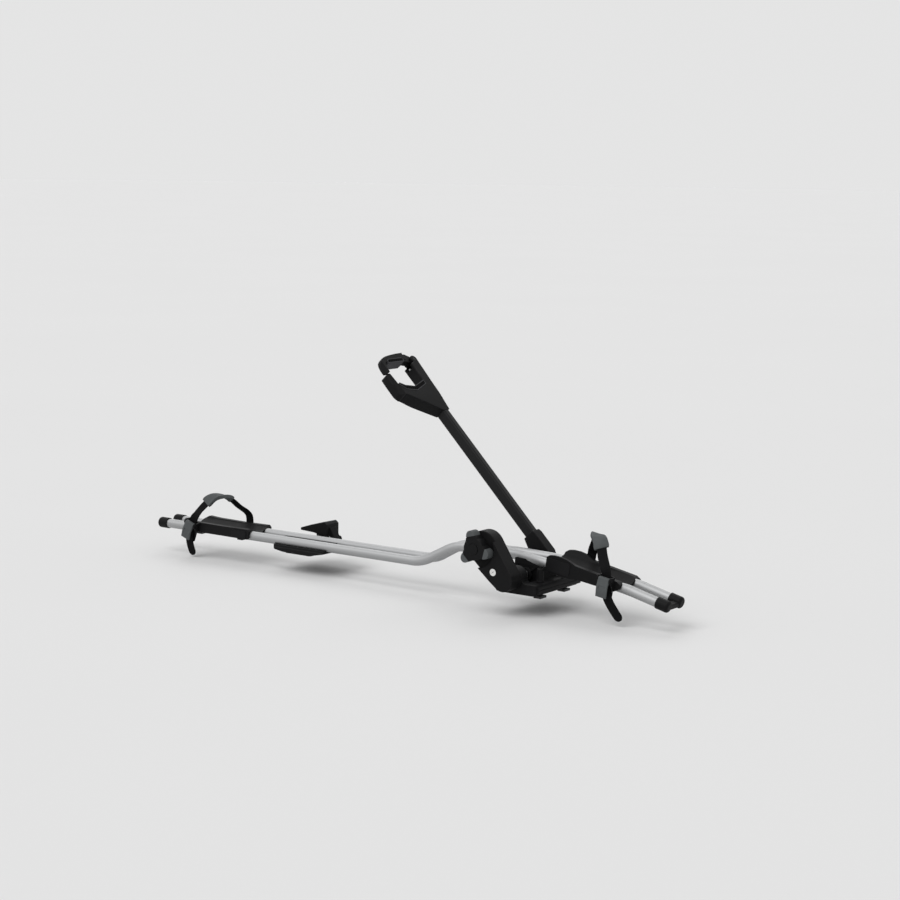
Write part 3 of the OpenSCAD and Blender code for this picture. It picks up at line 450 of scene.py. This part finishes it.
def rounded(plain, solid, width):
    """A shape with those of its sharp edges rounded that have room for it; the plain one is used up."""
    plain.edges.ensure_lookup_table()
    chosen = [i for i, edge in enumerate(plain.edges) if sharp(edge)]
    reach = ROOM * width
    while True:
        shape = plain.copy()
        shape.edges.ensure_lookup_table()
        round_edges(shape, [shape.edges[i] for i in chosen], width, ROUND_STEPS)
        test = shape.copy()
        bmesh.ops.triangulate(test, faces=test.faces)
        test.normal_update()
        spots = faults(test, solid, width)
        test.free()
        near = KDTree(len(spots))
        for i, spot in enumerate(spots):
            near.insert(spot, i)
        near.balance()
        roomy = [i for i in chosen if not spots or clear(plain.edges[i], near, reach)]
        if len(roomy) == len(chosen):
            plain.free()
            return shape
        chosen = roomy
        shape.free()


def moulding(node, width, finish="grained_black", slot_name="black_plastic"):
    """The node's own shape with rounded edges, less round where there is little room."""
    shape = copy_of(node)
    solid = BVHTree.FromBMesh(shape)
    merge(shape)
    bmesh.ops.dissolve_limit(shape, angle_limit=FLAT_ANGLE, verts=shape.verts, edges=shape.edges)
    for share in ROUND_SHARES:
        shape = rounded(shape, solid, width * share)
    bmesh.ops.triangulate(shape, faces=[f for f in shape.faces if len(f.verts) > 4])
    made = piece(f"{node}_moulding", shape, finish, body_of(node), EVEN_SHADING)
    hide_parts(node)


def smoothed(node, finish):
    """The node's own shape with even shading over its joints."""
    shape = copy_of(node)
    merge(shape)
    made = piece(f"{node}_smooth", shape, finish, body_of(node), EVEN_SHADING)
    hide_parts(node)


def smooth_route(points, steps):
    """Points of an even curve through the given ones."""
    out = []
    last = len(points) - 1
    for i in range(last):
        a, b, c, d = points[max(i - 1, 0)], points[i], points[i + 1], points[min(i + 2, last)]
        for k in range(steps):
            t = k / steps
            out.append(0.5 * (2 * b + (c - a) * t + (2 * a - 5 * b + 4 * c - d) * t * t
                              + (3 * b - a - 3 * c + d) * t ** 3))
    return out + [points[-1]]


def at_distances(path, pitch):
    """The same curve cut into equal lengths."""
    out, need = [path[0]], pitch
    for a, b in zip(path, path[1:]):
        length = (b - a).length
        while length >= need:
            a = a.lerp(b, need / length)
            out.append(a)
            length = (b - a).length
            need = pitch
        need -= length
    return out


def frames_along(path, tray):
    """A frame at each point, with its width along the tray."""
    out = []
    for i, spot in enumerate(path):
        ahead = (path[min(i + 1, len(path) - 1)] - path[max(i - 1, 0)]).normalized()
        wide = (Vector((1, 0, 0)) - ahead * ahead.x).normalized()
        turn = Matrix((wide, wide.cross(ahead), -ahead)).transposed().to_4x4()
        out.append(tray @ Matrix.Translation(spot) @ turn)
    return out


def swept(stations):
    """A bar with a soft-cornered section, drawn on from station to station."""
    shape = bmesh.new()
    corners = [(-0.5, -0.28), (-0.485, -0.42), (-0.455, -0.5), (0.455, -0.5), (0.485, -0.42), (0.5, -0.28),
               (0.5, 0.28), (0.485, 0.42), (0.455, 0.5), (-0.455, 0.5), (-0.485, 0.42), (-0.5, 0.28)]
    here = stations[0]
    end = shape.faces.new([shape.verts.new(here @ Vector((x, y, 0))) for x, y in corners])
    for station in stations[1:]:
        grown = bmesh.ops.extrude_face_region(shape, geom=[end])["geom"]
        shape.faces.remove(end)
        end = next(g for g in grown if isinstance(g, bmesh.types.BMFace))
        bmesh.ops.transform(shape, matrix=station @ here.inverted(), verts=end.verts)
        here = station
    bmesh.ops.holes_fill(shape, edges=[e for e in shape.edges if e.is_boundary], sides=0)
    bmesh.ops.recalc_face_normals(shape, faces=shape.faces)
    return shape


def strap_points(anchor, buckle, low, middle, top, tilt, lean):
    """The strap's route over the tray, from its screw to its loose end, in the tray's frame."""
    far, near = 44.9, 50.5
    rise, fall, k = middle - anchor, buckle - middle, math.tan(math.radians(tilt))
    points = [
        (anchor, far, -9), (anchor, far, 26), (anchor + rise * 0.1, far - 4, 40),
        (anchor + rise * 0.4, far - 14, top - 24), (anchor + rise * 0.7, 16, top - 5), (middle, 0, top),
        (middle + fall * 0.3, -16, top - 6), (middle + fall * 0.6, -34, top - 28),
        (middle + fall * 0.9 + 34 * k, 2 - near, low + 38), (buckle + 22 * k, -near, low + 22),
        (buckle - 2 * k, -near, low - 2), (buckle - 26 * k + lean * 0.26, -near, low - 26),
        (buckle - 40 * k + lean * 0.62, 2 - near, low - 46), (buckle - 50 * k + lean, 5 - near, low - 64)]
    return [Vector(p) * MM for p in points]


STRAPS = {
    "front": (FRONT_TRAY, strap_points(76, 174, -2, 108, 84, 0, 48), "carrier"),
    "rear": (REAR_TRAY, strap_points(30, -78, -2, -26, 78, 20, 24), "rear_wheel_tray"),
}


def make_strap(end):
    tray, points, body = STRAPS[end]
    width, thick, step = sizes().strap_width, sizes().strap_thickness, sizes().ridge_pitch / 4
    path = at_distances(smooth_route(points, 24), step)
    stations = []
    for i, base in enumerate(frames_along(path, tray)):
        left = min(1, (len(path) - 1 - i) * step / (width / 2))
        wide = width * max(0.3, math.sqrt(1 - (1 - left) ** 2))
        height = thick * (1 if i % 4 < 2 else 0.78)
        stations.append(base @ Matrix.Diagonal((wide, height, 1, 1)))
    strap = piece(f"{end}_ribbed_strap", swept(stations), "ribbed_rubber", body,
                  RIDGE_SHADING)
    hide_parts(f"{end}_strap")


def make_sleeve(end, first, last):
    tray, points, body = STRAPS[end]
    path = at_distances(smooth_route(smooth_route(points, 4)[first:last + 1], 6), 2 * MM)
    stations = []
    for i, base in enumerate(frames_along(path, tray)):
        from_end = min(i, len(path) - 1 - i) * 2 * MM
        swell = math.sqrt(min(1, 0.35 + from_end / 0.008))
        wide = sizes().sleeve_width * (0.9 + 0.24 * i / len(path)) * (0.88 + 0.12 * swell)
        deep = 9.2 * MM * swell * (0.94 if i % 6 == 3 else 1)
        stations.append(base @ Matrix.Translation((0, -1.2 * MM, 0)) @ Matrix.Diagonal((wide, deep, 1, 1)))
    sleeve = piece(f"{end}_rim_sleeve", swept(stations), "sleeve_rubber", body, SOFT_SHADING)
    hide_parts(f"{end}_rim_pad")


def on_claw(across, along, depth):
    """A point across the claw, along the arm and through the claw, all in millimetres."""
    return ARM @ (Vector((-CLAW_REACH - along, across, CLAW_FACE + depth)) * MM)


def claw_pad(name, outline, back, front, body, node):
    """A rubber pad with the given outline, from back to front through the claw, and a lip on its front; its
    sides and lip are painted lighter, a painted highlight along the lip.
    """
    shape = bmesh.new()
    face = shape.faces.new([shape.verts.new(on_claw(x, y, back)) for x, y in outline])
    grown = bmesh.ops.extrude_face_region(shape, geom=[face], use_keep_orig=True)["geom"]
    bmesh.ops.translate(shape, vec=CLAW_AXIS * (front - back) * MM,
                        verts=[g for g in grown if isinstance(g, bmesh.types.BMVert)])
    bmesh.ops.recalc_face_normals(shape, faces=shape.faces)
    ground = max(shape.faces, key=lambda f: f.calc_center_median().dot(CLAW_AXIS))
    bmesh.ops.inset_region(shape, faces=[ground], thickness=2 * MM, depth=-0.6 * MM, use_even_offset=True)
    ground.material_index = 1
    round_edges(shape, [e for e in shape.edges if sharp(e)], 0.6 * MM, 2)
    # The lighter rubber of the sides and lip is a painted highlight along the lip.
    made = piece(name, shape, "lip_rubber", body, SOFT_SHADING)
    made.data.materials.append(use("foot_rubber"))
    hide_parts(node)


def dotted(name, lines, rows, depth, body):
    """Rows of small dots along lines across the claw, on the front of a pad."""
    shape = bmesh.new()
    for start, end in lines:
        start, end = Vector(start), Vector(end)
        along = end - start
        across = Vector((-along.y, along.x)).normalized()
        count = max(1, round(along.length * MM / sizes().dot_pitch))
        for k in range(count):
            for n, row in enumerate(rows):
                spot = start + along * ((k + 0.3 + 0.4 * (n % 2)) / count) + across * row
                place = Matrix.Translation(on_claw(spot.x, spot.y, depth)) @ ARM.to_3x3().to_4x4()
                bmesh.ops.create_cone(shape, cap_ends=True, cap_tris=False, segments=12, radius1=1.8 * MM,
                                      radius2=1.4 * MM, depth=0.6 * MM, matrix=place)
    piece(name, shape, "dot_rubber", body, SOFT_SHADING)


# Operators

class CARRIER_OT_stage(bpy.types.Operator):
    """Set up the floor, the light and the camera"""

    bl_idname = "carrier.stage"
    bl_label = "Studio"

    def execute(self, context):
        scene = context.scene
        scene.view_settings.view_transform = "Standard"
        low = Vector(SOLID_BOX[0]).z
        ground = bmesh.new()
        bmesh.ops.create_circle(ground, cap_ends=True, segments=64, radius=FLOOR_RADIUS,
                                matrix=Matrix.Translation((0, 0, low - FLOOR_GAP)))
        mesh = bpy.data.meshes.new("studio_floor")
        ground.to_mesh(mesh)
        ground.free()
        floor = bpy.data.objects.new("studio_floor", mesh)
        scene.collection.objects.link(floor)
        pale = surface("studio_floor", roughness=0.9, specular_ior_level=0.1)
        cloud = pale.noise(pale.place(), 0.7, 2)
        tone = tuple(colours().floor)
        pale.set(base_color=pale.mix(cloud, shade(tone, 0.99), shade(tone, 1.01)))
        mesh.materials.append(pale.owner)

        sky = Finish(bpy.data.worlds.new("studio"), "Background", color=(1, 1, 1))
        seen = sky.node("ShaderNodeLightPath", output="Is Camera Ray")
        mirrored = sky.node("ShaderNodeLightPath", output="Is Glossy Ray")
        sky.set(strength=seen.most(mirrored) * SKY_SEEN + SKY_LEVEL)
        scene.world = sky.owner

        for name, (towards, power, spread) in LAMPS.items():
            self.lamp(name, towards, power, spread)

        lens = bpy.data.cameras.new("photo_camera")
        lens.sensor_width = 36
        lens.lens = CAMERA_LENS
        lens.clip_end = 200
        camera = bpy.data.objects.new("photo_camera", lens)
        scene.collection.objects.link(camera)
        turn = Matrix((CAMERA_RIGHT, CAMERA_UP, -CAMERA_AHEAD)).transposed().to_4x4()
        camera.matrix_world = Matrix.Translation(CAMERA_PLACE) @ turn
        scene.camera = camera
        return {"FINISHED"}

    def lamp(self, name, towards, power, spread):
        """A wide lamp so far away that it lights all of the floor evenly."""
        light = bpy.data.lights.new(name, "SUN")
        light.energy = power
        light.angle = math.radians(spread)
        lamp = bpy.data.objects.new(name, light)
        lamp.rotation_euler = Vector(towards).to_track_quat("Z", "Y").to_euler()
        bpy.context.scene.collection.objects.link(lamp)


class CARRIER_OT_rails(bpy.types.Operator):
    """Smooth and finish the rails and their end caps"""

    bl_idname = "carrier.rails"
    bl_label = "Rails"

    def execute(self, context):
        for side in ("near", "far"):
            smoothed(f"rail_{side}", "drawn_tube")
        finish_nodes("grained_black", "front_end_cap", "rear_end_caps")
        return {"FINISHED"}


class CARRIER_OT_base(bpy.types.Operator):
    """Round and finish the front base and what is on it"""

    bl_idname = "carrier.base"
    bl_label = "Front base"

    def execute(self, context):
        moulding("front_base", 1.1 * MM)
        moulding("front_nuts", 0.7 * MM)
        finish_nodes("grained_grey", "hinge_bushes")
        finish_nodes("foot_rubber", "base_pad")
        finish_nodes("dark_steel", "front_t_bolts", "rail_screws")
        return {"FINISHED"}


class CARRIER_OT_arm(bpy.types.Operator):
    """Finish the fold arm, its shaft and its hub"""

    bl_idname = "carrier.arm"
    bl_label = "Fold arm"

    def execute(self, context):
        moulding("arm_hub", 1.6 * MM)
        finish_nodes("coated_arm", "arm_tube")
        finish_nodes("plated_steel", "hinge_shaft", "shaft_keys", "shaft_cap", "pull_cable", "pull_rod")
        finish_nodes("grained_grey", "rod_guides")
        return {"FINISHED"}


class CARRIER_OT_knob(bpy.types.Operator):
    """Round and finish the torque knob, its housing and the lock"""

    bl_idname = "carrier.knob"
    bl_label = "Torque knob"

    def execute(self, context):
        moulding("knob_housing", 2 * MM)
        moulding("housing_cover", 0.8 * MM)
        moulding("torque_knob", 1.5 * MM)
        moulding("knob_grips", 1.1 * MM, "grained_grey", "grey_plastic")
        moulding("knob_cap", 0.5 * MM)
        finish_nodes("grained_grey", "clutch_ring", "cable_drum")
        finish_nodes("plated_steel", "housing_screws", "knob_spindle", "clutch_spring")
        finish_nodes("bright_lock", "lock_barrel", "lock_core")
        return {"FINISHED"}


class CARRIER_OT_claw(bpy.types.Operator):
    """Round and finish the claw and its jaw, and make their dotted pads"""

    bl_idname = "carrier.claw"
    bl_label = "Claw"

    def execute(self, context):
        moulding("claw_body", 1.7 * MM)
        moulding("hook_jaw", 1 * MM)
        finish_nodes("dark_steel", "jaw_pin")
        low = [(-48, -22.5), (-34, -39), (0, -46), (46, -31)]
        high = [(46, -19), (0, -33), (-29.5, -27), (-44, -18)]
        claw_pad("cradle_pad", low + high, -9, 18.7, "frame_arm", "claw_pad")
        claw_pad("jaw_pad", [(-30, 38.4), (27, 38.4), (29, 42.4), (24, 50), (-24, 50), (-32, 45)], -8, 18.7,
                 "upper_jaw", "hook_pad")
        dotted("cradle_dots", [((-31, -33.4), (0, -39.6)), ((0, -39.6), (45, -25.2))], (-2, 2), 18.2,
               "frame_arm")
        dotted("jaw_dots", [((-27, 44.2), (26, 44.2))], (-1.9, 1.9), 18.2, "upper_jaw")
        return {"FINISHED"}


class CARRIER_OT_trays(bpy.types.Operator):
    """Round and finish the trays, their plates and their buckles"""

    bl_idname = "carrier.trays"
    bl_label = "Trays"

    def execute(self, context):
        for end in ("front", "rear"):
            moulding(f"{end}_tray", 0.9 * MM)
            moulding(f"{end}_label", 0.45 * MM, "satin_plate")
            moulding(f"{end}_tray_clips", 0.6 * MM)
            moulding(f"{end}_buckle", 0.7 * MM)
            moulding(f"{end}_lever", 0.9 * MM, "grained_grey", "grey_plastic")
            finish_nodes("dark_steel", f"{end}_lever_pin", f"{end}_strap_screw")
        finish_nodes("dark_steel", "front_tray_screws")
        return {"FINISHED"}


class CARRIER_OT_clamp(bpy.types.Operator):
    """Round and finish the rear bracket, its hood and its clamp knob"""

    bl_idname = "carrier.clamp"
    bl_label = "Rear bracket"

    def execute(self, context):
        moulding("rear_bracket", 1.4 * MM)
        moulding("rear_cover", 1.5 * MM)
        moulding("rear_knob", 0.5 * MM, "grained_grey", "grey_plastic")
        finish_nodes("foot_rubber", "rear_pad")
        finish_nodes("dark_steel", "rear_t_bolt", "rear_cover_pin")
        return {"FINISHED"}


class CARRIER_OT_straps(bpy.types.Operator):
    """Make the ribbed straps"""

    bl_idname = "carrier.straps"
    bl_label = "Straps"

    def execute(self, context):
        for end in STRAPS:
            make_strap(end)
        return {"FINISHED"}


class CARRIER_OT_sleeves(bpy.types.Operator):
    """Make the soft sleeves on the straps"""

    bl_idname = "carrier.sleeves"
    bl_label = "Sleeves"

    def execute(self, context):
        for end in STRAPS:
            make_sleeve(end, 15, 26)
        return {"FINISHED"}


class CARRIER_PT_panel(bpy.types.Panel):
    """Makes the pieces one by one"""

    bl_idname = "CARRIER_PT_panel"
    bl_label = "Carrier"
    bl_space_type = "VIEW_3D"
    bl_region_type = "UI"
    bl_category = "Carrier"

    def draw(self, context):
        for group in (sizes(), colours()):
            for key in group.bl_rna.properties.keys():
                if key not in {"rna_type", "name"}:
                    self.layout.prop(group, key)
        for operator in OPERATORS:
            self.layout.operator(operator.bl_idname)


OPERATORS = (CARRIER_OT_stage, CARRIER_OT_rails, CARRIER_OT_base, CARRIER_OT_arm, CARRIER_OT_knob,
             CARRIER_OT_claw, CARRIER_OT_trays, CARRIER_OT_clamp, CARRIER_OT_straps, CARRIER_OT_sleeves)
CLASSES = (CarrierSizes, CarrierColours, *OPERATORS, CARRIER_PT_panel)


def register():
    for cls in CLASSES:
        bpy.utils.register_class(cls)
    bpy.types.Scene.carrier_sizes = bpy.props.PointerProperty(type=CarrierSizes)
    bpy.types.Scene.carrier_colours = bpy.props.PointerProperty(type=CarrierColours)


def unregister():
    del bpy.types.Scene.carrier_colours
    del bpy.types.Scene.carrier_sizes
    for cls in reversed(CLASSES):
        bpy.utils.unregister_class(cls)


def main():
    register()
    bpy.ops.carrier.stage()
    bpy.ops.carrier.rails()
    bpy.ops.carrier.base()
    bpy.ops.carrier.arm()
    bpy.ops.carrier.knob()
    bpy.ops.carrier.claw()
    bpy.ops.carrier.trays()
    bpy.ops.carrier.clamp()
    bpy.ops.carrier.straps()
    bpy.ops.carrier.sleeves()


if __name__ == "__main__":
    main()
